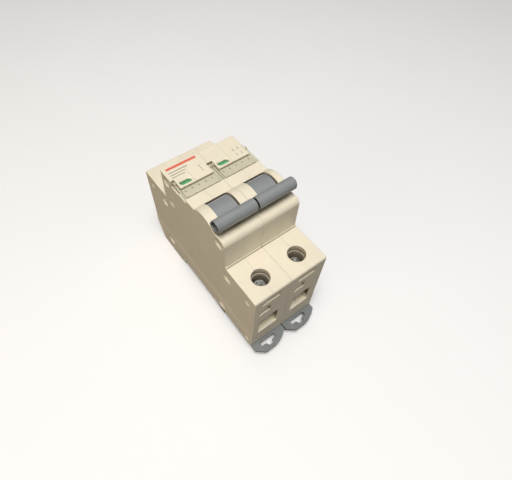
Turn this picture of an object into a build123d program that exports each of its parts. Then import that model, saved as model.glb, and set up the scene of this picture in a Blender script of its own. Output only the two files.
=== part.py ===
from build123d import *
import math
import os

# Two-pole miniature circuit breaker for 35 mm top-hat rail.
# Frame: X across the two poles, Y along the height of the breaker (-Y, the "near" end,
# has the sliding rail clips), Z outwards from the rail to the handle.
# Origin: middle of the 36 mm width, rail centreline, rail seat at Z = 0.  Units mm.
# Each pole is built about its own X = 0.  Points in the side view are (y, z) pairs.

# ---------------------------------------------------------------- driving dimensions
PITCH = 18.0            # one module
HALF = 8.98             # half width of a pole at the meeting face and at the base band
HALF_MID = 8.75         # half width of the outer face above the base band
CAVITY = 7.4            # half width of the hollow inside a pole
SEAM = 0.01             # half gap between the two shells of a pole
FAR_OUT = 60            # beyond the casing, for cutting and trimming boxes
LEFT, RIGHT = -1, 1     # poles, also the direction of a pole's outer face
ENDS = (-1, 1)          # near and far end

Y_NEAR, Y_FAR = -41.7, 41.3      # end faces
Z_SHOULDER = 44.0
Z_NOSE = 60.0
Y_NOSE = 22.5                    # the 45 mm nose
BAND_Z = (8.0, 12.0)             # the proud base band slopes in between these
SHOULDER_R, NOSE_NEAR_R, NOSE_FAR_R = 1.0, 2.6, 0.6    # corner radii of the side profile

RAIL = 17.75                     # half of the 35.5 mm rail slot
HOOK = 1.3                       # depth of the groove behind the rail flange
HOOK_Y = 15.2                    # tip of the fixed hook and of the clip nose
SEAT_Y, SEAT_RELIEF = 15.0, 0.3  # the rail seat stands proud of a relief at each edge
FOOT_Z = -5.0                    # bottom of the far foot
NEAR_FOOT_Z = 0.8                # underside of the near foot, above the clip

PIVOT_Y, PIVOT_Z = PIVOT = (-9.2, 54.6)     # handle pivot
HUMP_R = 8.6
DRUM_R = 8.0
DRUM_X = (-4.2, 5.1)
OPEN_X = (-4.4, 5.7)             # handle opening across the pole
OPEN_Y = (-15.65, -2.75)
OFF_DEG = 37.0                   # handle leans 37 deg to -Y when off
BAR_R = 13.0                     # radius of the tie pin axis through the handle bar
BAR_END, BAR_BREAK = 8.85, 8.1   # handle bar end, and start of its broken +X edge

RECESS_Y = (3.2, 9.1)            # trough for the label and its cover
RECESS_Z = 57.9
NOTCH_Y = 14.6                   # far end of the hinge notches
HINGE = (13.4, 58.8)             # label cover hinge

WINDOW_X, WINDOW_Y = WINDOW = (-3.7, 11.2)
WINDOW_L, WINDOW_W = 5.1, 2.15
PANE_Z = (59.4, 59.8)
ROLL_Z = 57.75                   # indicator roller axis height
ROLLER = (WINDOW_Y, ROLL_Z)
ROLL_R = 1.55

SCREW_Y = 33.5
SCREW_R = 2.45                   # M5 shank
CAGE_Z = 12.6                    # underside of the open clamp cage
TONGUE_Z = (23.4, 24.85)         # conductor tongues inside the cages

CARRIER = (-4.0, 30.0)           # moving contact pivot
LINK_FOOT = (-12.0, 36.0)        # lower pivot of the drive link at off
ARM_DEG = 20.0                   # swing of the moving contact
LINK_HOLE_R = 3.2                # radius of the link hole's centre in the drum
LINK_HOLE_DEG = -20.0            # direction of that hole from the pivot at off
LINK_TOP = (PIVOT_Y + LINK_HOLE_R * math.cos(math.radians(LINK_HOLE_DEG)),
            PIVOT_Z + LINK_HOLE_R * math.sin(math.radians(LINK_HOLE_DEG)))
TRIP = (-6.0, 21.0)              # trip lever pivot
TRIP_BAR = (3.0, 34.5)           # common trip bar
TRIP_BAR_R = 1.2
TRIP_X = (-6.9, -4.4)            # trip lever across the pole

PIVOT_PIN_R, CARRIER_PIN_R, TRIP_PIN_R = 1.5, 1.25, 1.0
PIN_END = 8.15
SEAT_END = 8.2                   # end of the pin seats in the casing
SEAT_GAP, BORE_GAP = 0.01, 0.05  # radial play in the casing and in the moving parts

CONTACT_Z = 18.0                 # centre height of the contact tips
CONTACT_HALF = 1.8               # half size of a tip
TIP_T = 1.2
ARM_FACE_Y = 7.95                # closed position of the moving arm's face
FIXED_FACE_Y = 10.45

COIL_Z = 28.3                    # axis height of the magnetic release
COIL_AXIS = (0, COIL_Z)          # (x, z)
COIL_Y = (13.85, 23.85)
COIL_R, COIL_WIRE_R = 4.1, 0.85
LEAD_Z = 21.6
CORE_R, PUNGE_ROD_R = 2.2, 0.75
YOKE_Y, YOKE_T = (11.9, 25.9), 1.0

RIVET_R = 1.2
RIVETS = [(-18.9, 56.5), (-23.7, 37.4), (18.8, 56.0), (25.0, 38.0), (-18.8, 4.6), (27.4, 4.4)]
# shallow dimples on the outer faces: y, z, radius
DIMPLES = [(-37.0, 38.3, 1.7), (17.2, 44.2, 2.2), (36.0, 39.0, 1.7), (-38.5, 3.8, 1.6)]


# ---------------------------------------------------------------- helpers

def box(x_a, x_b, y_a, y_b, z_a, z_b):
    """Box between limits, each pair in either order."""
    size = Box(abs(x_b - x_a), abs(y_b - y_a), abs(z_b - z_a))
    return Pos((x_a + x_b) / 2, (y_a + y_b) / 2, (z_a + z_b) / 2) * size


def mid_box(half_x, y_a, y_b, z_a, z_b):
    """Box centred on X = 0."""
    return box(-half_x, half_x, y_a, y_b, z_a, z_b)


def cyl_x(centre, radius, x_a, x_b):
    return Pos((x_a + x_b) / 2, *centre) * Rot(0, 90, 0) * Cylinder(radius, abs(x_b - x_a))


def cyl_y(centre, radius, y_min, y_max):
    """Cylinder along Y; centre is (x, z)."""
    x, z = centre
    return Pos(x, (y_min + y_max) / 2, z) * Rot(90, 0, 0) * Cylinder(radius, y_max - y_min)


def cyl_z(y, radius, z_min, z_max):
    """Cylinder along Z, in the middle plane of the pole."""
    return Pos(0, y, (z_min + z_max) / 2) * Cylinder(radius, z_max - z_min)


def cone_x(centre, radius_a, radius_b, x_a, x_b):
    """Cone along X with radius_a at x_a and radius_b at x_b."""
    if x_a > x_b:
        radius_a, radius_b, x_a, x_b = radius_b, radius_a, x_b, x_a
    return Pos((x_a + x_b) / 2, *centre) * Rot(0, 90, 0) * Cone(radius_a, radius_b, x_b - x_a)


def extrude_x(outline, x_min, x_max):
    """Closed (y, z) outline extruded from x_min to x_max."""
    face = make_face(Plane.YZ.offset(x_min) * outline)
    return extrude(face, amount=x_max - x_min, dir=(1, 0, 0))


def poly_x(points, x_min, x_max):
    return extrude_x(Polyline(*points, close=True), x_min, x_max)


def poly_z(points, z_min, z_max):
    face = make_face(Plane.XY.offset(z_min) * Polyline(*points, close=True))
    return extrude(face, amount=z_max - z_min, dir=(0, 0, 1))


def link_x(start, end, radius, x_min, x_max):
    """Flat link with rounded ends between two (y, z) points."""
    dy, dz = end[0] - start[0], end[1] - start[1]
    length = math.hypot(dy, dz)
    side_y, side_z = -dz / length * radius, dy / length * radius
    corners = [(start[0] + side_y, start[1] + side_z), (end[0] + side_y, end[1] + side_z),
               (end[0] - side_y, end[1] - side_z), (start[0] - side_y, start[1] - side_z)]
    ends = [cyl_x(point, radius, x_min, x_max) for point in (start, end)]
    return poly_x(corners, x_min, x_max) + ends[0] + ends[1]


def turn_x(shape, centre, deg):
    """Turn about an X-parallel axis through (y, z); positive is right-handed about +X."""
    return Pos(0, *centre) * Rot(deg, 0, 0) * Pos(0, -centre[0], -centre[1]) * shape


def rod(points, radius):
    """Round bar through 3-D points with ball corners."""
    bar = None
    for start, end in zip(points, points[1:]):
        span = Vector(*end) - Vector(*start)
        piece = Pos(0, 0, span.length / 2) * Cylinder(radius, span.length)
        piece = Plane(origin=start, z_dir=span) * piece
        bar = piece if bar is None else bar + piece
    for point in points[1:-1]:
        bar = bar + Pos(*point) * Sphere(radius)
    return bar


def spring(origin, x_dir, axis, radius, wire_r, length, turns):
    """Open helix of round wire from origin along axis."""
    helix = Helix(pitch=length / turns, height=length, radius=radius)
    section = Plane(origin=helix @ 0, z_dir=helix % 0) * Circle(wire_r)
    plane = Plane(origin=origin, x_dir=x_dir, z_dir=axis)
    return plane.location * sweep(section, path=helix, is_frenet=True)


def window_slot(z, grow_length=0.0, grow_width=0.0, shift=0.0):
    """Obround sketch of the indicator window at height z."""
    slot = SlotOverall(WINDOW_L + grow_length, WINDOW_W + grow_width)
    return Plane.XY.offset(z) * (Pos(WINDOW_X + shift, WINDOW_Y + shift) * slot)


def write(name, *shapes):
    solids = [solid for shape in shapes for solid in shape.solids()]
    part = solids[0] if len(solids) == 1 else Compound(children=solids)
    part.label = name
    export_step(part, f"parts/{name}.step")


# ---------------------------------------------------------------- pole casing

def corner_arc(y, z, radius, end):
    """Points of the round at a top corner of the near (-1) or far (1) end, in path order."""
    half = math.pi / 4
    points = [(y, z - radius),
              (y - end * radius * (1 - math.cos(half)), z - radius + radius * math.sin(half)),
              (y - end * radius, z)]
    return points[::-end]


def casing_outline():
    hump_half = math.sqrt(HUMP_R ** 2 - (Z_NOSE - PIVOT_Z) ** 2)
    start = (Y_NEAR, NEAR_FOOT_Z)
    # a tuple is a corner point, a list is an arc through three points
    steps = [
        corner_arc(Y_NEAR, Z_SHOULDER, SHOULDER_R, -1),
        (-Y_NOSE, Z_SHOULDER),
        corner_arc(-Y_NOSE, Z_NOSE, NOSE_NEAR_R, -1),
        [(PIVOT_Y - hump_half, Z_NOSE), (PIVOT_Y, PIVOT_Z + HUMP_R),
         (PIVOT_Y + hump_half, Z_NOSE)],
        (RECESS_Y[0], Z_NOSE), (RECESS_Y[0], RECESS_Z),
        (RECESS_Y[1], RECESS_Z), (RECESS_Y[1], Z_NOSE),
        corner_arc(Y_NOSE, Z_NOSE, NOSE_FAR_R, 1),
        (Y_NOSE, Z_SHOULDER),
        corner_arc(Y_FAR, Z_SHOULDER, SHOULDER_R, 1),
        # far foot with its fixed hook
        (Y_FAR, 7.0), (36.9, FOOT_Z), (19.3, FOOT_Z), (HOOK_Y, -2.1), (HOOK_Y, -HOOK),
        (RAIL, -HOOK), (RAIL, SEAT_RELIEF),
        # rail seat
        (SEAT_Y, SEAT_RELIEF), (SEAT_Y, 0), (-SEAT_Y, 0), (-SEAT_Y, SEAT_RELIEF),
        (-RAIL, SEAT_RELIEF), (-RAIL, NEAR_FOOT_Z),
        start,
    ]
    edges, last = [], start
    for step in steps:
        points = step if isinstance(step, list) else [step]
        edges.append(Line(last, points[0]))
        if len(points) == 3:
            edges.append(ThreePointArc(*points))
        last = points[-1]
    return Wire(edges)


def profile_block(side, outer_half):
    """Side profile as a block with broken edges; only the outer face may step in."""
    faces = [(-side * HALF, 0.05), (side * outer_half, 0.2)]      # x, chamfer
    faces.sort()
    body = extrude_x(casing_outline(), faces[0][0], faces[1][0])
    for x, size in faces:
        rim = [e for e in body.edges()
               if all(abs(point.X - x) < 1e-4 for point in (e.center(), e @ 0, e @ 1))]
        # leave the small rail groove sharp
        rim = [e for e in rim
               if not (-RAIL - 0.1 < e.center().Y < RAIL + 2.5 and e.center().Z < 2)]
        body = chamfer(rim, size)
    return body


def band_limit(side):
    """Region of the base band: full width at the foot, fading into the outer face."""
    points = [(side * 20, -20), (-side * 20, -20), (-side * 20, BAND_Z[1]),
              (side * (HALF_MID - 0.02), BAND_Z[1]), (side * (HALF + 0.02), BAND_Z[0]),
              (side * 20, BAND_Z[0])]
    face = make_face(Plane.XZ.offset(FAR_OUT) * Polyline(*points, close=True))
    return extrude(face, amount=2 * FAR_OUT, dir=(0, 1, 0))


def chamber():
    """Mechanism chamber, less the rivet pillars and bearing bosses left standing in it."""
    room = mid_box(CAVITY, -27.6, 27.6, 6.2, 42.4)
    room += mid_box(CAVITY, -21.5, 26.0, 1.6, 6.3)
    room += mid_box(CAVITY, -21.0, 21.0, 42.0, 56.4)
    wall = CAVITY + 1
    for rivet in RIVETS:
        room -= cyl_x(rivet, 2.4, -wall, wall)
    room -= cyl_x(PIVOT, 2.1, DRUM_X[1] + 0.2, wall)
    room -= cyl_x(CARRIER, 2.2, -wall, -2.0)
    room -= cyl_x(CARRIER, 2.2, 4.8, wall)
    return room


def cut_handle_opening(pole):
    # room for the return spring on the pivot pin
    pole -= cyl_x(PIVOT, 2.7, -CAVITY, OPEN_X[0])
    drum_room = cyl_x(PIVOT, DRUM_R + 0.2, *OPEN_X)
    opening = box(*OPEN_X, *OPEN_Y, PIVOT_Z, 70)
    corners = [e for e in opening.edges().filter_by(Axis.Z) if e.center().X > 0]
    return pole - (drum_room + fillet(corners, 1.7))


def cut_indicator(pole):
    # window tunnel with a sloping frame
    pole -= extrude(window_slot(57.2), amount=3.8, dir=(0, 0, 1))
    frame = [window_slot(PANE_Z[0], 0.04, 0.04), window_slot(60.05, 0.95, 0.9, shift=0.38)]
    pole -= loft([sketch.face() for sketch in frame])
    # roller pocket
    pocket_x, crank_x, floor_z = (-6.45, -0.3), (-1.3, -0.3), 56.2
    pole -= cyl_x(ROLLER, ROLL_R + 0.08, *pocket_x)
    pole -= box(*pocket_x, WINDOW_Y - 1.5, WINDOW_Y + 1.5, floor_z, ROLL_Z)
    # swept room of the roller crank
    swept = cyl_x(ROLLER, 3.4, *crank_x)
    pole -= swept & box(-3, 0, WINDOW_Y - 2.9, WINDOW_Y + 3.4, 50, 56.9)
    pole -= box(*crank_x, WINDOW_Y - 1.85, WINDOW_Y + 1.85, floor_z, ROLL_Z)
    return pole - cyl_x(ROLLER, 0.55, -6.95, 0.3)


def cut_cover_hinge(pole):
    for x_range in ((-12, -7.1), (8.15, 12)):
        pole -= box(*x_range, RECESS_Y[1] - 0.1, NOTCH_Y, 57.0, 62)
    for x_range in ((-7.15, -6.58), (7.3, 8.2)):
        pole -= cyl_x(HINGE, 0.75, *x_range)
    return pole


def cut_terminal(pole, end):
    y = end * SCREW_Y
    end_y = Y_NEAR if end < 0 else Y_FAR

    def end_box(x_min, x_max, depth_from, depth_to, z_min, z_max):
        """Box at depths measured inwards from the end face."""
        return box(x_min, x_max, end_y - end * depth_from, end_y - end * depth_to, z_min, z_max)

    # screw access bore with an undercut and ring, then the head chamber: radius, z range
    for radius, z_min, z_max in ((3.8, 41.0, 50), (4.3, 40.4, 41.2), (3.55, 38.3, 50),
                                 (3.8, 34.3, 38.4)):
        pole -= cyl_z(y, radius, z_min, z_max)
    pole -= mid_box(0.5, y, y - end * 4.25, 40.4, 41.9)
    # shank hole and clamp compartment
    pole -= cyl_z(y, 2.6, 30, 40)
    pole -= mid_box(4.75, y - 3.95, y + 3.95, 12.3, 33.0)
    # wire entry: wide straight pocket in the end wall, then the way into the cage
    pole -= end_box(-5.7, 4.8, -0.1, 2.7, 11.6, 23.8)
    pole -= box(-3.7, 4.1, end_y - end * 2.5, y + end * 3.8, CAGE_Z, 23.3)
    # hollow behind the thin end wall on the +X side of the entry
    pole -= end_box(4.7, CAVITY, 0.7, 3.2, 12.4, 23.8)
    # conductor slot through the inner wall
    pole -= mid_box(3.4, end * 27.0, end * 30.0, TONGUE_Z[0] - 0.02, TONGUE_Z[1] + 0.02)
    # gripping pockets, and the test hole with a hollow crossing it
    pole -= end_box(-5.2, 3.6, -0.1, 0.45, 38.3, 42.0)
    pole -= end_box(-6.2, -1.2, -0.1, 0.85, 30.2, 34.0)
    pole -= end_box(-2.7, -0.6, -0.1, 3.4, 30.5, 35.0)
    return pole - end_box(-2.7, 1.6, 0.7, 3.2, 30.5, 36.0)


def cut_clip_guide(pole):
    """T slot and spring channel in the near foot."""
    pole -= mid_box(1.6, -33.3, -23.6, 0, 2.2)
    pole -= mid_box(3.1, -33.3, -23.6, 2.1, 3.6)
    return pole - cyl_y((0, 2.85), 1.45, -39.6, -28.8)


def cut_rivets_and_pins(pole, side):
    for face in (-1, 1):
        for rivet in RIVETS:
            pole -= cone_x(rivet, 1.5, 2.8, face * 7.5, face * 9.0)
    for y, z, radius in DIMPLES:
        pole -= cone_x((y, z), radius * 0.4, radius + 0.3, side * 8.0, side * 9.0)
    for rivet in RIVETS:
        pole -= cyl_x(rivet, RIVET_R + 0.02, -9, 9)
    pole -= cyl_x(PIVOT, PIVOT_PIN_R + SEAT_GAP, -SEAT_END, SEAT_END)
    pole -= cyl_x(CARRIER, CARRIER_PIN_R + SEAT_GAP, -SEAT_END, SEAT_END)
    return pole - cyl_x(TRIP, TRIP_PIN_R + SEAT_GAP, -SEAT_END, -4)


def pole_casing(side):
    pole = profile_block(side, HALF_MID)
    pole += profile_block(side, HALF) & band_limit(side)

    # plinth and fine groove along the foot of the near nose wall
    pole += box(side * (HALF_MID - 0.1), -side * (HALF - 0.1),
                -Y_NOSE - 0.5, -Y_NOSE + 0.5, Z_SHOULDER - 0.5, Z_SHOULDER + 0.45)
    pole -= mid_box(FAR_OUT, -Y_NOSE - 0.72, -Y_NOSE - 0.5, Z_SHOULDER - 0.25, Z_SHOULDER + 1)

    pole -= chamber()
    pole = cut_handle_opening(pole)
    pole = cut_indicator(pole)
    pole = cut_cover_hinge(pole)
    for end in ENDS:
        pole = cut_terminal(pole, end)
    pole = cut_clip_guide(pole)
    return cut_rivets_and_pins(pole, side)


def split_shells(pole, side):
    """Base shell (-X) and cover shell (+X) of a pole."""
    base = pole & box(-20, -SEAM, -FAR_OUT, FAR_OUT, -20, 90)
    cover = pole & box(SEAM, 20, -FAR_OUT, FAR_OUT, -20, 90)
    # window for the common trip bar, only in the two walls that face each other
    hole = cyl_x((TRIP_BAR[0] - 1.0, TRIP_BAR[1] + 0.7), 3.3, -side * 5, -side * 20)
    if side == LEFT:
        return base, cover - hole
    return base - hole, cover


# ---------------------------------------------------------------- handle

def bar_outline(inset):
    """Upright handle bar: round outer end, flat flanks drawn in towards the stem."""
    radius = 2.6 - inset
    round_z = PIVOT_Z + BAR_R + 0.4
    base_z = PIVOT_Z + BAR_R - 3.1 + inset
    base_half = 1.9 - inset
    dy = radius * math.cos(math.radians(12))
    flank_z = round_z + radius * math.sin(math.radians(12))
    far, near = (PIVOT_Y + dy, flank_z), (PIVOT_Y - dy, flank_z)
    base_near = (PIVOT_Y - base_half, base_z + 0.7)
    base_far = (PIVOT_Y + base_half, base_z + 0.7)
    return Wire([ThreePointArc(far, (PIVOT_Y, round_z + radius), near),
                 Line(near, base_near),
                 ThreePointArc(base_near, (PIVOT_Y, base_z), base_far),
                 Line(base_far, far)])


def toggle():
    def section(inset, x):
        return make_face(Plane.YZ.offset(x) * bar_outline(inset))

    drum = cyl_x(PIVOT, DRUM_R, *DRUM_X)
    # built upright over the pivot, then leaned to the off position
    stem = box(DRUM_X[0], DRUM_X[1] - 0.6, PIVOT_Y - 1.5, PIVOT_Y + 1.5,
               PIVOT_Z + 6.0, PIVOT_Z + BAR_R)
    bar = extrude_x(bar_outline(0), -BAR_END, BAR_BREAK)
    bar += (loft([section(0, BAR_BREAK), section(0.22, 8.5)])
            + loft([section(0.22, 8.5), section(0.7, BAR_END)]))
    pocket = extrude_x(bar_outline(0.5), -9.0, -3.8)
    lever = (stem + bar) - pocket - cyl_x((PIVOT_Y, PIVOT_Z + BAR_R), 1.15, -9, 9)
    part = drum + turn_x(lever, PIVOT, OFF_DEG)
    part -= cyl_x(PIVOT, PIVOT_PIN_R + BORE_GAP, -9, 9)
    part -= cyl_x(LINK_TOP, 0.9, 1.3, 9)
    # lightening slot under the drum
    part -= box(DRUM_X[0] + 1.6, 0.4, PIVOT_Y - 2.4, PIVOT_Y + 2.4, PIVOT_Z - 9, PIVOT_Z - 3.2)
    return part


def tie_pin():
    """Pin through the two handle bars."""
    upright = cyl_x((PIVOT_Y, PIVOT_Z + BAR_R), 1.1, -12.6, 12.6)
    return turn_x(upright, PIVOT, OFF_DEG)


def toggle_spring():
    return spring((-7.05, *PIVOT), (0, 1, 0), (1, 0, 0),
                  radius=2.1, wire_r=0.3, length=2.4, turns=3.5)


# ---------------------------------------------------------------- mechanism

def drive_link():
    hook_x, side_x = 1.6, 6.3
    return rod([(hook_x, *LINK_TOP), (side_x, *LINK_TOP),
                (side_x, *LINK_FOOT), (hook_x, *LINK_FOOT)], 0.8)


def contact_carrier():
    x_range = (1.0, 4.6)
    plate = link_x(CARRIER, LINK_FOOT, 2.7, *x_range) + cyl_x(CARRIER, 3.0, *x_range)
    plate -= cyl_x(CARRIER, CARRIER_PIN_R + BORE_GAP, 0, 6)
    # play for the part of the over-centre motion that a plain hinge can't follow
    dy, dz = CARRIER[0] - LINK_FOOT[0], CARRIER[1] - LINK_FOOT[1]
    scale = 0.35 / math.hypot(dy, dz)
    slot_ends = [(LINK_FOOT[0] + way * dy * scale, LINK_FOOT[1] + way * dz * scale)
                 for way in (-1, 1)]
    return plate - link_x(*slot_ends, 1.35, 0, 6)


def moving_contact():
    """Contact arm, built closed and swung open."""
    x_range = (-1.8, 0.9)
    arm = link_x(CARRIER, (6.0, CONTACT_Z), 1.7, *x_range) + cyl_x(CARRIER, 2.8, *x_range)
    arm += box(*x_range, 5.8, ARM_FACE_Y, CONTACT_Z - 2.3, CONTACT_Z + 2.3)
    arm -= mid_box(5, ARM_FACE_Y, 20, 0, 40)
    arm = turn_x(arm, CARRIER, -ARM_DEG)
    return arm - cyl_x(CARRIER, CARRIER_PIN_R + BORE_GAP, -3, 6)


def contact_tip(y):
    """Square tip with rounded corners, from y towards +Y."""
    block = mid_box(CONTACT_HALF, y, y + TIP_T,
                    CONTACT_Z - CONTACT_HALF, CONTACT_Z + CONTACT_HALF)
    return block & cyl_y((0, CONTACT_Z), 2.3, y - 0.5, y + TIP_T + 0.5)


def fixed_contact():
    plate = mid_box(3.2, FIXED_FACE_Y, 11.5, 14.5, 22.6)
    horn = mid_box(2.6, FIXED_FACE_Y, 24.0, 14.6, 15.6)
    return plate + horn


def trip_lever():
    elbow = (4.4, 29.0)
    lever = link_x(TRIP, elbow, 1.7, *TRIP_X) + link_x(elbow, TRIP_BAR, 1.9, *TRIP_X)
    lever += link_x(TRIP, (-12.4, 13.6), 1.6, *TRIP_X) + cyl_x(TRIP, 2.4, *TRIP_X)
    # tabs reaching in to the plunger and at the near end
    lever += box(TRIP_X[0], 1.4, 4.2, 5.4, 26.6, 31.0)
    lever += box(TRIP_X[0], 1.2, -13.2, -12.0, 12.0, 15.0)
    lever -= cyl_x(TRIP, TRIP_PIN_R + BORE_GAP, -9, 0)
    return lever - cyl_x(TRIP_BAR, TRIP_BAR_R, -9, 0)


def coil():
    low_z = COIL_Z - COIL_R
    winding = spring((0, COIL_Y[0], COIL_Z), (0, 0, -1), (0, 1, 0),
                     radius=COIL_R, wire_r=COIL_WIRE_R, length=10.0, turns=5)
    for y, lead_end in zip(COIL_Y, (11.52, 26.38)):
        winding += rod([(0, y, low_z), (0, y, LEAD_Z), (0, lead_end, LEAD_Z)], COIL_WIRE_R)
    for y in COIL_Y:
        winding += Pos(0, y, low_z) * Sphere(COIL_WIRE_R)
    return winding


def bobbin():
    return cyl_y(COIL_AXIS, 3.15, 12.95, 24.85) - cyl_y(COIL_AXIS, 2.3, 12, 26)


def coil_core():
    return cyl_y(COIL_AXIS, CORE_R, YOKE_Y[0], 15.5) - cyl_y(COIL_AXIS, 0.85, 11, 16)


def plunger():
    return cyl_y(COIL_AXIS, CORE_R, 18.5, 26.2) + cyl_y(COIL_AXIS, PUNGE_ROD_R, 5.45, 19)


def plunger_spring():
    return spring((0, 15.9, COIL_Z), (1, 0, 0), (0, 1, 0),
                  radius=1.6, wire_r=0.25, length=2.2, turns=3)


def yoke():
    half_x, low_z, top_z = 4.6, 23.0, 34.55
    near, far = YOKE_Y
    part = mid_box(half_x, near, far, top_z - YOKE_T, top_z)
    part += (mid_box(half_x, near, near + YOKE_T, low_z, top_z)
             + mid_box(half_x, far - YOKE_T, far, low_z, top_z))
    part -= cyl_y(COIL_AXIS, CORE_R, 11, 14)
    return part - cyl_y(COIL_AXIS, 2.35, 24, 27)


def line_conductor():
    tongue = mid_box(3.3, 26.4, 37.2, *TONGUE_Z)
    return tongue + mid_box(3.3, 26.4, 27.5, 20.4, TONGUE_Z[1])


def load_conductor():
    tongue = mid_box(3.3, -37.2, -18.6, *TONGUE_Z)
    return tongue + mid_box(2.5, -19.8, -18.6, TONGUE_Z[0], 34.0)


def bimetal():
    return mid_box(2.5, -18.6, -17.7, 11.0, 33.6)


def braid():
    path = Spline((1.2, -16.7, 12.6), (3.4, -13.6, 13.6), (4.3, -8.5, 18.5),
                  (3.4, -4.6, 22.6), (2.2, -3.4, 24.6))
    return sweep(Plane(origin=path @ 0, z_dir=path % 0) * Circle(0.85), path=path)


def arc_plates():
    """Stack of plates, each with a tapered notch in its near edge."""
    notch = [(-3.2, 10.5), (3.2, 10.5), (0.7, 17.0), (-0.7, 17.0)]
    plates = []
    for i in range(7):
        z = 3.3 + 1.5 * i
        plates.append(mid_box(6.3, 11.0, 25.0, z, z + 0.8) - poly_z(notch, z - 1, z + 2))
    return plates


def arc_cheeks():
    return [box(side * 6.32, side * 7.2, 11.5, 24.5, 2.7, 13.8) for side in (RIGHT, LEFT)]


def arc_runner():
    ramp = [(-8.0, 1.65), (-8.0, 2.4), (-11.0, 6.4), (-11.9, 6.4)]
    return mid_box(2.6, -8.0, 25.0, 1.65, 2.4) + poly_x(ramp, -2.6, 2.6)


# ---------------------------------------------------------------- terminals

def clamp(end):
    y = end * SCREW_Y
    half_x = 4.6
    cage = mid_box(half_x, y - 3.8, y + 3.8, CAGE_Z, 28.3)
    cage -= mid_box(3.45, y - 5, y + 5, CAGE_Z + 1.4, 25.5)
    # grip grooves on the wire side
    for i in range(3):
        groove_y = y - 2.4 + 2.0 * i
        cage -= mid_box(3.0, groove_y, groove_y + 0.8, CAGE_Z + 1.1, CAGE_Z + 1.6)
    cage -= cyl_z(y, SCREW_R + 0.06, 20, 40)
    corners = [e for e in cage.edges().filter_by(Axis.Y)
               if abs(abs(e.center().X) - half_x) < 1e-3]
    return chamfer(corners, 0.5)


def screw(end):
    y = end * SCREW_Y
    head_top = 37.0
    head = cyl_z(y, 3.15, 34.4, head_top)
    rim = [e for e in head.edges()
           if abs(e.center().Z - head_top) < 1e-3 and e.geom_type == GeomType.CIRCLE]
    part = chamfer(rim, 0.4) + cyl_z(y, SCREW_R, 25.0, 34.5)
    # thread shown as shallow rings
    for i in range(9):
        z = 25.6 + 0.8 * i
        part -= cyl_z(y, SCREW_R + 1, z, z + 0.35) - cyl_z(y, SCREW_R - 0.3, z - 1, z + 1)
    # slot across the head, then the cross recess
    for half_x, half_y, z in ((4, 0.6, 35.9), (0.6, 2.1, 35.3), (2.1, 0.6, 35.3)):
        part -= mid_box(half_x, y - half_y, y + half_y, z, 38)
    return part - Pos(0, y, 36.3) * Cone(0.5, 1.25, 1.8)


# ---------------------------------------------------------------- indicator, label, clip

def roller():
    crank = 2.6
    crank_end = (WINDOW_Y + crank * math.sin(math.radians(45)),
                 ROLL_Z - crank * math.cos(math.radians(45)))
    part = cyl_x(ROLLER, ROLL_R, -6.4, -1.2)
    part += cyl_x(ROLLER, 0.5, -6.9, 0.2)
    return part + link_x(ROLLER, crank_end, 0.6, -1.2, -0.5)


def window_pane():
    return extrude(window_slot(PANE_Z[0], -0.04, -0.04), amount=PANE_Z[1] - PANE_Z[0],
                   dir=(0, 0, 1))


def label_insert():
    return mid_box(8.4, 4.2, 8.7, RECESS_Z + 0.02, RECESS_Z + 0.2)


def label_cover():
    top_z = 59.25
    plate_y, flange_z = (4.1, 8.85), (58.2, 58.75)
    left_arm, right_arm = (-8.1, -7.3), (8.3, 9.7)
    # raised plate over the label, thin flange beyond each end running back to the hinge arms
    part = box(-7.3, 8.1, *plate_y, 58.25, top_z)
    for x_range in ((-8.1, -7.1), (7.9, 9.7)):
        part += box(*x_range, *plate_y, *flange_z)
    for x_range in (left_arm, right_arm):
        part += box(*x_range, 8.6, HINGE[0], *flange_z)
    # hinge eyes, then their pins
    for radius, x_range in ((0.9, left_arm), (0.9, right_arm),
                            (0.68, (-7.4, -6.65)), (0.68, (7.4, 8.4))):
        part += cyl_x(HINGE, radius, *x_range)
    # row of dimples, and grip nicks along the near edge
    for i in range(5):
        x = -6.1 + 3.1 * i
        part -= Pos(x, 7.3, top_z - 0.1) * Cone(0.25, 0.45, 0.45)
        part -= box(x - 0.15, x + 0.15, 4.0, 4.5, top_z - 0.25, top_z + 0.4)
    return part


def din_clip():
    half_x, plate_z = 8.7, (-0.45, 0.55)
    outline = [(-half_x, -19.9), (-half_x, -45.0), (-4.9, -48.2), (0.6, -48.2), (3.2, -47.6),
               (6.2, -46.2), (half_x, -44.4), (half_x, -19.9)]
    clip = poly_z(outline, *plate_z)
    # lip and nose that hold the rail flange
    clip += mid_box(half_x, -20.0, -17.95, -2.6, plate_z[1])
    nose = [(-18.0, -1.15), (-HOOK_Y, -1.15), (-HOOK_Y, -1.5), (-16.6, -2.6), (-18.0, -2.6)]
    clip += poly_x(nose, -half_x, half_x)
    # screwdriver slot with a notch
    clip -= box(-5.0, 3.4, -44.9, -43.1, -2, 2)
    clip -= poly_z([(-2.6, -44.8), (1.2, -44.8), (0.4, -46.6), (-1.6, -46.6)], -2, 2)
    # T rib running in the casing
    clip += mid_box(1.45, -29.0, -23.8, 0.5, 2.3) + mid_box(2.95, -29.0, -23.8, 2.22, 3.45)
    return clip


def clip_spring():
    return spring((0, -39.2, 2.85), (1, 0, 0), (0, 1, 0),
                  radius=1.05, wire_r=0.28, length=9.8, turns=9)


# ---------------------------------------------------------------- pins and rivets

def full_pin(centre, radius):
    return cyl_x(centre, radius, -PIN_END, PIN_END)


def rivet_through(centre):
    """Rivet through both poles with a tapered head in the recess at each outer face."""
    x = PITCH / 2 + 7.5
    part = cyl_x(centre, RIVET_R, -x, x)
    for face in (-1, 1):
        part += cone_x(centre, 1.4, 0.9, face * x, face * (x + 0.5))
    return part


# ---------------------------------------------------------------- write the parts

os.makedirs("parts", exist_ok=True)

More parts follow.
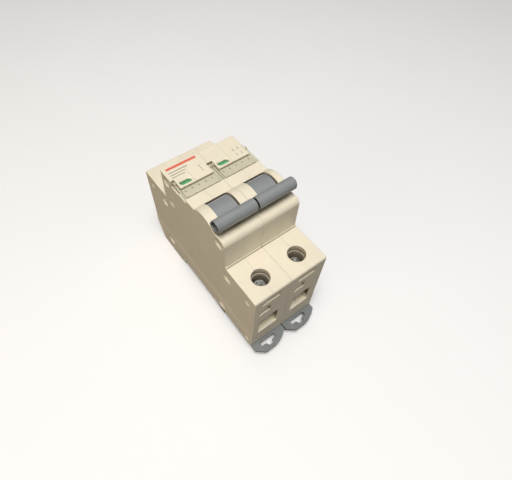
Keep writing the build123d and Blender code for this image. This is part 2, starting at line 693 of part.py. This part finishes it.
# one file per pole
POLE_PARTS = {
    "toggle": toggle(),
    "drive_link": drive_link(),
    "contact_carrier": contact_carrier(),
    "moving_contact": moving_contact(),
    "moving_contact_tip": turn_x(contact_tip(ARM_FACE_Y), CARRIER, -ARM_DEG),
    "trip_lever": trip_lever(),
    "coil": coil(),
    "plunger": plunger(),
    "bimetal": bimetal(),
    "load_conductor": load_conductor(),
    "fixed_contact": fixed_contact(),
    "braid": braid(),
    "near_clamp": clamp(-1),
    "far_clamp": clamp(1),
    "near_screw": screw(-1),
    "far_screw": screw(1),
    "indicator_roller": roller(),
    "label_cover": label_cover(),
    "din_clip": din_clip(),
}

# one file for both poles
PAIRED_PARTS = {
    "line_conductors": [line_conductor()],
    "arc_plates": arc_plates(),
    "arc_chute_cheeks": arc_cheeks(),
    "arc_runners": [arc_runner()],
    "coil_bobbins": [bobbin()],
    "coil_cores": [coil_core()],
    "coil_yokes": [yoke()],
    "plunger_springs": [plunger_spring()],
    "fixed_contact_tips": [contact_tip(FIXED_FACE_Y - TIP_T)],
    "label_inserts": [label_insert()],
    "indicator_windows": [window_pane()],
    "toggle_springs": [toggle_spring()],
    "clip_springs": [clip_spring()],
    "toggle_pivot_pins": [full_pin(PIVOT, PIVOT_PIN_R)],
    "mechanism_pins": [full_pin(CARRIER, CARRIER_PIN_R),
                       cyl_x(TRIP, TRIP_PIN_R, -PIN_END, -4.2)],
}

for pole_name, side in (("left", LEFT), ("right", RIGHT)):
    place = Pos(side * PITCH / 2, 0, 0)
    base, cover = split_shells(pole_casing(side), side)
    write(f"{pole_name}_base_shell", place * base)
    write(f"{pole_name}_cover_shell", place * cover)
    for name, shape in POLE_PARTS.items():
        write(f"{pole_name}_{name}", place * shape)

for name, shapes in PAIRED_PARTS.items():
    write(name, *[Pos(side * PITCH / 2, 0, 0) * shape
                  for side in (LEFT, RIGHT) for shape in shapes])

write("casing_rivets", *[rivet_through(centre) for centre in RIVETS])
write("handle_tie_pin", tie_pin())
write("common_trip_bar",
      cyl_x(TRIP_BAR, TRIP_BAR_R, -PITCH / 2 + TRIP_X[0], PITCH / 2 + TRIP_X[1]))
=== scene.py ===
"""A two-pole circuit breaker with its mechanism, for a DIN rail.

The label face looks up (+Z) at z = 60 mm and pieces named left_ and right_ are on
the -X and +X sides. Meshes are in metres. Material patterns, print sizes and the
camera offset are given in millimetres.
"""

import bpy
from mathutils import Matrix, Vector


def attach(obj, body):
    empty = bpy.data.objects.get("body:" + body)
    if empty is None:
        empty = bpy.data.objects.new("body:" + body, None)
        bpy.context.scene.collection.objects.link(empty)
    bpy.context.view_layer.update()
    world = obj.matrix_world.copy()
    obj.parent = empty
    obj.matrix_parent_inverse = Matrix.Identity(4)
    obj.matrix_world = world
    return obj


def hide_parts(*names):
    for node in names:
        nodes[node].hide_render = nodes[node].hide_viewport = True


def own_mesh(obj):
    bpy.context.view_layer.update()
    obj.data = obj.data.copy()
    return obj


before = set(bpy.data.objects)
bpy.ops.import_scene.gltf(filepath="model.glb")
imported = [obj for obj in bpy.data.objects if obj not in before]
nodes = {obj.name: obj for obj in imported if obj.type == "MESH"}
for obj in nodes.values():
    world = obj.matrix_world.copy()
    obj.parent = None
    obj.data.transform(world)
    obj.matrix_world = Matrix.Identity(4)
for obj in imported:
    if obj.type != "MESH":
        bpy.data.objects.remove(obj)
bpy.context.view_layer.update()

MM_PER_M = 1000

# Indicator roller axis, which lies along X (mm)
ROLLER_Y = 11.2
ROLLER_Z = 57.75

# Printed marks on the label face (mm)
LABEL_Z = 60.0
INK_BOTTOM = LABEL_Z + 0.002
INK_TOP = LABEL_Z + 0.014
PRINT_LEFT = -16.2

# Floor (metres)
FLOOR_HALF = 2.4
FLOOR_Z = -0.00502

# Camera: turn about X, Y and Z (radians), then the offset of the breaker's origin
# along the camera's right, down and forward directions (mm)
CAMERA_TURN = (2.5583845, 0.0051127, 0.6291116)
CAMERA_OFFSET = (-3.83978, 9.79138, 197.97254)
SENSOR_WIDTH = 36.0
LENS = 26.6114306
LENS_SHIFT = (0.0364517383, 0.00774238281)

LIGHT_AIM = (0, 0, 0.03)


# ------------------------------------------------------------------ helpers
def srgb(*channels):
    """Linear RGBA from 0-255 sRGB channels."""
    def linear(channel):
        value = channel / 255.0
        return value / 12.92 if value <= 0.04045 else ((value + 0.055) / 1.055) ** 2.4
    return (*map(linear, channels), 1.0)


def shade(color, factor):
    return (*(min(channel * factor, 1) for channel in color[:3]), 1)


def feed(tree, socket, value):
    """Link a socket to an input, or set the input to a plain value."""
    if isinstance(value, bpy.types.NodeSocket):
        tree.links.new(value, socket)
    else:
        socket.default_value = value


def add_node(tree, kind, inputs, **settings):
    node = tree.nodes.new("ShaderNode" + kind)
    for name, value in settings.items():
        setattr(node, name, value)
    for key, value in inputs.items():
        feed(tree, node.inputs[key], value)
    return node


def add_object(name, data):
    ob = bpy.data.objects.new(name, data)
    bpy.context.scene.collection.objects.link(ob)
    return ob


def add_mesh(name, points, faces, material):
    mesh = bpy.data.meshes.new(name)
    mesh.from_pydata(points, [], faces)
    mesh.update()
    mesh.materials.append(material.block)
    return add_object(name, mesh)


class Material:
    """Builds a procedural material whose patterns are in millimetres."""

    def __init__(self, name):
        self.block = bpy.data.materials.new(name)
        self.block.use_nodes = True
        self.tree = self.block.node_tree
        self.tree.nodes.clear()
        self.output = self.add("OutputMaterial")
        self.shader = self.add("BsdfPrincipled")
        self.set("Surface", self.shader.outputs[0], self.output)
        place = self.add("TexCoord").outputs["Object"]
        self.position = self.stretch((MM_PER_M,) * 3, place)

    def add(self, kind, inputs={}, **settings):
        return add_node(self.tree, kind, inputs, **settings)

    def set(self, name, value, node=None):
        feed(self.tree, (node or self.shader).inputs[name], value)

    def stretch(self, scale, vector=None):
        inputs = {"Scale": scale, "Vector": vector or self.position}
        return self.add("Mapping", inputs).outputs["Vector"]

    def noise(self, scale, detail=3.0, rough=0.55, vector=None):
        inputs = {"Scale": scale, "Detail": detail, "Roughness": rough,
                  "Vector": vector or self.position}
        return self.add("TexNoise", inputs).outputs["Fac"]

    def remap(self, value, span, to=(0.0, 1.0)):
        """Map the range `span` of a value onto the range `to`."""
        inputs = {"From Min": span[0], "From Max": span[1],
                  "To Min": to[0], "To Max": to[1], "Value": value}
        return self.add("MapRange", inputs).outputs["Result"]

    def math(self, operation, *values, clamp=False):
        return self.add("Math", dict(enumerate(values)),
                        operation=operation, use_clamp=clamp).outputs[0]

    def mix(self, factor, first, second):
        # a colour mix has its factor at input 0 and its colours at 6 and 7
        return self.add("Mix", {0: factor, 6: first, 7: second}, data_type="RGBA").outputs[2]

    def layer(self, under, over, mask, span, amount=(0.0, 1.0)):
        """Cover one colour with another, by `amount` as the mask crosses `span`."""
        return self.mix(self.remap(mask, span, amount), under, over)

    def edges(self, radius):
        """Edge mask and rounded normal."""
        inputs = {"Radius": radius / MM_PER_M}
        rounded = self.add("Bevel", inputs, samples=6).outputs[0]
        flat = self.add("NewGeometry").outputs["Normal"]
        dot = self.add("VectorMath", {0: rounded, 1: flat}, operation="DOT_PRODUCT")
        return self.math("SUBTRACT", 1.0, dot.outputs["Value"], clamp=True), rounded

    def grime(self, color, dirt, distance, span, amount):
        """Paint shade into corners: lay a darker colour where little open space is within
        `distance`.
        """
        inputs = {"Distance": distance / MM_PER_M}
        openness = self.add("AmbientOcclusion", inputs, samples=6).outputs["AO"]
        return self.layer(color, dirt, openness, span, (amount, 0.0))

    def color(self, color):
        self.set("Base Color", color)

    def roughness(self, limits, **pattern):
        """Vary the roughness between two limits over a noise pattern."""
        self.set("Roughness", self.remap(self.noise(**pattern), (0.3, 0.7), limits))

    def bump(self, height, strength, distance, normal=None):
        inputs = {"Strength": strength, "Distance": distance / MM_PER_M, "Height": height}
        if normal is not None:
            inputs["Normal"] = normal
        self.set("Normal", self.add("Bump", inputs).outputs[0])

    def see_through(self, tint, opacity):
        """Mix the surface over a tinted transparent one."""
        clear = self.add("BsdfTransparent", {"Color": tint}).outputs[0]
        mixed = self.add("MixShader", {0: opacity, 1: clear, 2: self.shader.outputs[0]})
        self.set("Surface", mixed.outputs[0], self.output)


# ------------------------------------------------------------------ materials
def plastic(name, base, shadow=0.93, rough=(0.42, 0.58), grain=1.0, specular=0.45,
            edge_gain=0.35, dirt=0.55, subsurface=0.0, well=0.0):
    """Moulded plastic: clouds, specks, painted highlight on edges, painted shade in corners,
    scuffs and a fine grain.
    """
    mat = Material(name)
    clouds = mat.noise(scale=0.07, detail=4, rough=0.6)
    color = mat.layer(shade(base, shadow), base, clouds, span=(0.35, 0.68))
    specks = mat.noise(scale=6.0, detail=2, rough=0.7)
    color = mat.layer(color, shade(base, 0.72), specks, span=(0.60, 0.80), amount=(0.0, 0.10))
    # painted highlight: edges are coloured lighter than the faces
    edge, rounded = mat.edges(radius=0.22)
    color = mat.layer(color, shade(base, 1.12), edge, span=(0.02, 0.35), amount=(0.0, edge_gain))
    # painted shade: a darker brown is laid into corners and crevices
    shade_tone = (base[0] * 0.42, base[1] * 0.38, base[2] * 0.32, 1)
    color = mat.grime(color, shade_tone, distance=2.0, span=(0.15, 0.75), amount=dirt)
    if well:
        # little light comes back out of the deep bores and wire entries
        deep = (base[0] * 0.16, base[1] * 0.12, base[2] * 0.07, 1)
        color = mat.grime(color, deep, distance=9.0, span=(0.10, 0.45), amount=well)
    # scuffs show only here and there
    scuffs = mat.noise(scale=1.6, detail=6, rough=0.7, vector=mat.stretch((1.0, 0.12, 0.3)))
    mat.color(mat.layer(color, shade(base, 1.1), scuffs, span=(0.66, 0.80), amount=(0.0, 0.12)))
    mat.roughness(rough, scale=0.5, detail=5, rough=0.6)
    mat.set("Specular IOR Level", specular)
    if subsurface:
        mat.set("Subsurface Weight", subsurface)
        mat.set("Subsurface Radius", (0.0012, 0.0008, 0.0005))
        mat.set("Subsurface Scale", 1.0)
    fine = mat.math("MULTIPLY", mat.noise(scale=9.0, detail=2, rough=0.6), 1.0)
    coarse = mat.math("MULTIPLY", mat.noise(scale=2.2, detail=3, rough=0.5), 0.8)
    mat.bump(mat.math("ADD", fine, coarse), strength=0.12 * grain, distance=0.03, normal=rounded)
    return mat


def metal(name, base, rough, brush=(1, 1, 1), tarnish=None):
    """Metal with a brushed layer, painted highlight on edges, painted shade in corners and an
    optional tarnish colour.
    """
    mat = Material(name)
    brushed = mat.noise(scale=3.5, detail=5, rough=0.65, vector=mat.stretch(brush))
    color = mat.layer(shade(base, 0.78), base, brushed, span=(0.35, 0.7))
    if tarnish:
        patches = mat.noise(scale=0.35, detail=4, rough=0.6)
        color = mat.layer(color, tarnish, patches, span=(0.45, 0.72), amount=(0.0, 0.65))
    # painted highlight: edges are coloured lighter than the faces
    edge, rounded = mat.edges(radius=0.12)
    color = mat.layer(color, shade(base, 1.2), edge, span=(0.02, 0.3), amount=(0.0, 0.5))
    # painted shade: a darker tone is laid into corners
    mat.color(mat.grime(color, shade(base, 0.3), distance=1.5, span=(0.2, 0.8), amount=0.5))
    mat.set("Metallic", 1.0)
    mat.roughness(rough, scale=2.0, detail=5, rough=0.6, vector=mat.stretch(brush))
    mat.bump(brushed, strength=0.15, distance=0.02, normal=rounded)
    return mat


def braid_metal():
    """Braided copper: diagonal strands."""
    mat = Material("copper_braid")
    strands = mat.add("TexWave", {"Scale": 1.6, "Distortion": 0.6, "Vector": mat.position},
                      wave_type="BANDS", bands_direction="DIAGONAL").outputs["Fac"]
    base = srgb(205, 125, 86)
    mat.color(mat.layer(shade(base, 0.45), base, strands, span=(0.2, 0.9)))
    mat.set("Metallic", 1.0)
    mat.roughness((0.28, 0.45), scale=3.0)
    mat.bump(strands, strength=0.8, distance=0.15)
    return mat


def roller_plastic():
    """Two-colour roller: the quarter that faces -Y is red, the rest green."""
    mat = plastic("indicator_two_colour", srgb(70, 190, 118), shadow=0.9, rough=(0.25, 0.4),
                  grain=0.4, edge_gain=0.2, dirt=0.35)
    axes = mat.add("SeparateXYZ", {0: mat.position}).outputs
    across = mat.math("SUBTRACT", axes[1], ROLLER_Y)
    height = mat.math("ABSOLUTE", mat.math("SUBTRACT", axes[2], ROLLER_Z))
    red_part = mat.math("LESS_THAN", mat.math("ADD", across, height), 0.0)
    green = mat.shader.inputs["Base Color"].links[0].from_socket
    mat.color(mat.mix(red_part, green, srgb(196, 40, 34)))
    return mat


def window_plastic():
    """Thin clear window: mostly see-through, with a faint reflection."""
    mat = Material("clear_window")
    haze = mat.noise(scale=1.5, detail=4)
    mat.color(mat.mix(haze, srgb(225, 242, 230), srgb(240, 250, 244)))
    mat.roughness((0.06, 0.16), scale=2.5, detail=4)
    mat.bump(mat.noise(scale=0.8, detail=2), strength=0.08, distance=0.02)
    glancing = mat.add("LayerWeight", {"Blend": 0.25}).outputs["Fresnel"]
    mat.see_through(tint=(0.93, 0.99, 0.95, 1),
                    opacity=mat.remap(glancing, span=(0.0, 1.0), to=(0.03, 0.30)))
    return mat


def cover_plastic():
    """Pale translucent moulding: a cloudy body colour with painted shade on edges and in corners,
    partly see-through.
    """
    mat = Material("tinted_cover")
    base = srgb(238, 232, 208)
    clouds = mat.noise(scale=0.12, detail=4, rough=0.6)
    edge, rounded = mat.edges(radius=0.15)
    color = mat.layer(shade(base, 0.92), base, clouds, span=(0.35, 0.7))
    # painted shade: edges are coloured a darker olive
    color = mat.layer(color, srgb(150, 156, 128), edge, span=(0.03, 0.35), amount=(0.0, 0.55))
    # painted shade: a darker olive is laid into corners
    mat.color(mat.grime(color, srgb(104, 108, 84), distance=1.2, span=(0.3, 0.9), amount=0.6))
    mat.roughness((0.16, 0.30), scale=1.4, detail=5)
    mat.bump(mat.noise(scale=1.2, detail=3), strength=0.10, distance=0.03, normal=rounded)
    body = mat.noise(scale=0.3, detail=3)
    mat.see_through(tint=srgb(240, 240, 222),
                    opacity=mat.remap(body, span=(0.3, 0.7), to=(0.66, 0.74)))
    return mat


def ink(name, base):
    mat = Material(name)
    wear = mat.noise(scale=3.0, detail=4, rough=0.7)
    mat.color(mat.layer(base, shade(base, 1.5), wear, span=(0.4, 0.75)))
    mat.roughness((0.35, 0.5), scale=2.0)
    mat.bump(mat.noise(scale=8.0, detail=2), strength=0.08, distance=0.01)
    return mat


def floor_paper():
    mat = Material("floor_paper")
    # pale to the camera, mid-grey to bounced light, so the sides keep their shade
    camera_ray = mat.add("LightPath").outputs["Is Camera Ray"]
    pale = mat.mix(mat.noise(scale=0.004, detail=3), (0.97, 0.97, 0.97, 1), (0.99, 0.99, 0.99, 1))
    mat.color(mat.mix(camera_ray, (0.22, 0.21, 0.20, 1), pale))
    mat.roughness((0.7, 0.85), scale=0.02, detail=3)
    mat.bump(mat.noise(scale=1.5, detail=2), strength=0.05, distance=0.02)
    return mat


MATERIALS = {
    "casing": plastic("casing_plastic", srgb(238, 229, 206), shadow=0.95, rough=(0.40, 0.55),
                      subsurface=0.04, well=0.75),
    "handle": plastic("handle_plastic", srgb(146, 150, 151), shadow=0.92, rough=(0.15, 0.21),
                      grain=0.15, specular=0.7, edge_gain=0.6, dirt=0.6, well=0.6),
    "clip": plastic("clip_plastic", srgb(128, 133, 134), shadow=0.85, rough=(0.30, 0.48),
                    grain=1.2, edge_gain=0.7, dirt=0.5),
    "dark": plastic("dark_plastic", srgb(44, 44, 47), shadow=0.8, rough=(0.4, 0.6)),
    "zinc": metal("zinc_steel", srgb(214, 215, 212), rough=(0.22, 0.40), brush=(1, 1, 0.6),
                  tarnish=srgb(168, 170, 160)),
    "spring": metal("spring_steel", srgb(188, 190, 193), rough=(0.18, 0.32), brush=(0.3, 1, 1)),
    "copper": metal("copper", srgb(206, 128, 88), rough=(0.25, 0.45), brush=(0.4, 1, 1),
                    tarnish=srgb(140, 84, 60)),
    "silver": metal("silver_alloy", srgb(226, 225, 220), rough=(0.18, 0.3)),
    "mild": metal("mild_steel", srgb(150, 152, 156), rough=(0.3, 0.5), brush=(1, 0.3, 1),
                  tarnish=srgb(110, 108, 104)),
    "bimetal": metal("bimetal_strip", srgb(176, 168, 154), rough=(0.3, 0.45), brush=(1, 1, 0.2)),
    "fibre": plastic("fibre_board", srgb(128, 66, 48), shadow=0.75, rough=(0.6, 0.8), grain=2.0),
    "paper": plastic("label_paper", srgb(232, 230, 214), shadow=0.96, rough=(0.7, 0.85),
                     grain=0.6, edge_gain=0.1),
    "braid": braid_metal(),
    "roller": roller_plastic(),
    "clear": window_plastic(),
    "cover": cover_plastic(),
}

# material: the pieces made of it, without left_ or right_
PIECES = {
    "casing": ("base_shell", "cover_shell"),
    "handle": ("toggle",),
    "clip": ("din_clip",),
    "zinc": ("near_screw", "far_screw", "casing_rivets", "near_clamp", "far_clamp"),
    "spring": ("drive_link", "toggle_pivot_pins", "mechanism_pins", "handle_tie_pin",
               "toggle_springs", "clip_springs", "plunger_springs"),
    "copper": ("coil", "load_conductor", "line_conductors", "fixed_contact", "moving_contact"),
    "braid": ("braid",),
    "silver": ("moving_contact_tip", "fixed_contact_tips"),
    "mild": ("arc_plates", "coil_yokes", "coil_cores", "plunger", "arc_runners"),
    "bimetal": ("bimetal",),
    "fibre": ("arc_chute_cheeks",),
    "dark": ("contact_carrier", "trip_lever", "common_trip_bar", "coil_bobbins"),
    "roller": ("indicator_roller",),
    "clear": ("indicator_windows",),
    "cover": ("label_cover",),
    "paper": ("label_inserts",),
}
MATERIAL_OF = {piece: key for key, pieces in PIECES.items() for piece in pieces}

for name, ob in nodes.items():
    piece = name.replace("left_", "").replace("right_", "")
    ob.data.materials.clear()
    ob.data.materials.append(MATERIALS[MATERIAL_OF[piece]].block)


# ------------------------------------------------------------------ springs, one object each
def split_spring(pair, side):
    """Copy one spring out of a pair onto an object of its own, and hide the pair."""
    source = nodes[pair]
    sign = -1 if side == "left" else 1
    polygons = [p for p in source.data.polygons if (source.matrix_world @ p.center).x * sign > 0]
    used = sorted({v for p in polygons for v in p.vertices})
    new_index = {v: i for i, v in enumerate(used)}
    points = [tuple(source.data.vertices[v].co) for v in used]
    faces = [tuple(new_index[v] for v in p.vertices) for p in polygons]
    ob = add_mesh(side + "_" + pair[:-1], points, faces, MATERIALS["spring"])
    for new, old in zip(ob.data.polygons, polygons):
        new.use_smooth = old.use_smooth
    ob.matrix_world = source.matrix_world.copy()
    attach(ob, "casing")
    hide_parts(pair)
    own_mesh(ob)


for side in ("left", "right"):
    split_spring("clip_springs", side)
    split_spring("plunger_springs", side)


# ------------------------------------------------------------------ printed marks
def print_bars(name, bars, material):
    """Thin boxes (x0, x1, y0, y1, in mm) just above the label face."""
    points, faces = [], []
    for x0, x1, y0, y1 in bars:
        i = len(points)
        for z in (INK_BOTTOM, INK_TOP):
            points += [(x0, y0, z), (x1, y0, z), (x1, y1, z), (x0, y1, z)]
        faces += [(i + 4, i + 5, i + 6, i + 7), (i + 3, i + 2, i + 1, i),
                  (i, i + 1, i + 5, i + 4), (i + 1, i + 2, i + 6, i + 5),
                  (i + 2, i + 3, i + 7, i + 6), (i + 3, i, i + 4, i + 7)]
    metres = [tuple(value / MM_PER_M for value in point) for point in points]
    ob = add_mesh(name, metres, faces, material)
    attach(ob, "casing")


def symbol_bars(left, bottom, pitch=2.3, width=0.28):
    """Two broken upright lines, each with a short crossbar under its upper stroke."""
    bars = []
    for x in (left, left + pitch):
        bars += [(x, x + width, bottom, bottom + 1.5),
                 (x, x + width, bottom + 3.4, bottom + 4.9),
                 (x - 0.35, x + 0.6, bottom + 3.3, bottom + 3.5)]
    return bars


ink_red = ink("ink_red", srgb(214, 104, 84))
ink_grey = ink("ink_grey", srgb(150, 142, 132))

text_lines = [(PRINT_LEFT, -7.6, 18.1, 18.6), (PRINT_LEFT, -9.4, 16.7, 17.1),
              (PRINT_LEFT, -10.2, 15.3, 15.7)]
ticks = [(-3.9, -3.5, y, y + 0.8) for y in (12.2, 13.5, 14.8)]

print_bars("print_band", [(PRINT_LEFT, -2.2, 20.0, 21.3)], ink_red)
print_bars("print_lines", text_lines + ticks, ink_grey)
print_bars("print_symbol", symbol_bars(left=12.6, bottom=10.8), ink_grey)


# ------------------------------------------------------------------ floor, light, camera
def add_floor():
    corners = [(x * FLOOR_HALF, y * FLOOR_HALF, FLOOR_Z)
               for x, y in ((-1, -1), (1, -1), (1, 1), (-1, 1))]
    add_mesh("floor", corners, [(0, 1, 2, 3)], floor_paper())


def add_world():
    """Weak ambient light, with a pale backdrop for the camera where the floor ends."""
    world = bpy.data.worlds.new("studio")
    bpy.context.scene.world = world
    world.use_nodes = True
    tree = world.node_tree
    ambient = tree.nodes["Background"]
    ambient.inputs["Color"].default_value = (1.0, 0.98, 0.96, 1)
    ambient.inputs["Strength"].default_value = 0.14
    backdrop = add_node(tree, "Background", {"Color": (0.93, 0.93, 0.92, 1), "Strength": 0.95})
    camera_ray = add_node(tree, "LightPath", {}).outputs["Is Camera Ray"]
    mixed = add_node(tree, "MixShader",
                     {0: camera_ray, 1: ambient.outputs[0], 2: backdrop.outputs[0]})
    feed(tree, tree.nodes["World Output"].inputs["Surface"], mixed.outputs[0])


def area_light(name, place, size, power, color=(1, 1, 1)):
    light = bpy.data.lights.new(name, "AREA")
    light.shape = "RECTANGLE"
    light.size, light.size_y = size
    light.energy = power
    light.color = color
    ob = add_object(name, light)
    ob.location = place
    aim = Vector(LIGHT_AIM) - Vector(place)
    ob.rotation_euler = aim.to_track_quat("-Z", "Y").to_euler()


def add_camera():
    turn = Matrix.Identity(3)
    for angle, axis in zip(CAMERA_TURN, "XYZ"):
        turn = turn @ Matrix.Rotation(angle, 3, axis)
    place = -(turn.transposed() @ Vector(CAMERA_OFFSET)) / MM_PER_M
    right, down, forward = turn
    axes = Matrix((right, -down, -forward)).transposed()
    camera = bpy.data.cameras.new("camera")
    ob = add_object("camera", camera)
    ob.matrix_world = Matrix.Translation(place) @ axes.to_4x4()
    camera.sensor_width = SENSOR_WIDTH
    camera.lens = LENS
    camera.shift_x, camera.shift_y = LENS_SHIFT
    camera.clip_start = 0.005
    bpy.context.scene.camera = ob


add_floor()
add_world()
bpy.context.scene.view_settings.view_transform = "Standard"
area_light("key", place=(-0.15, -0.17, 0.88), size=(0.36, 0.36), power=6.3,
           color=(1.0, 0.985, 0.965))
area_light("top", place=(0.1, 0.1, 1.0), size=(1.0, 1.0), power=1.3)
# weak warm fill from the -X side
area_light("fill_side", place=(-0.75, -0.05, 0.25), size=(0.5, 0.4), power=0.85,
           color=(1.0, 0.70, 0.36))
add_camera()
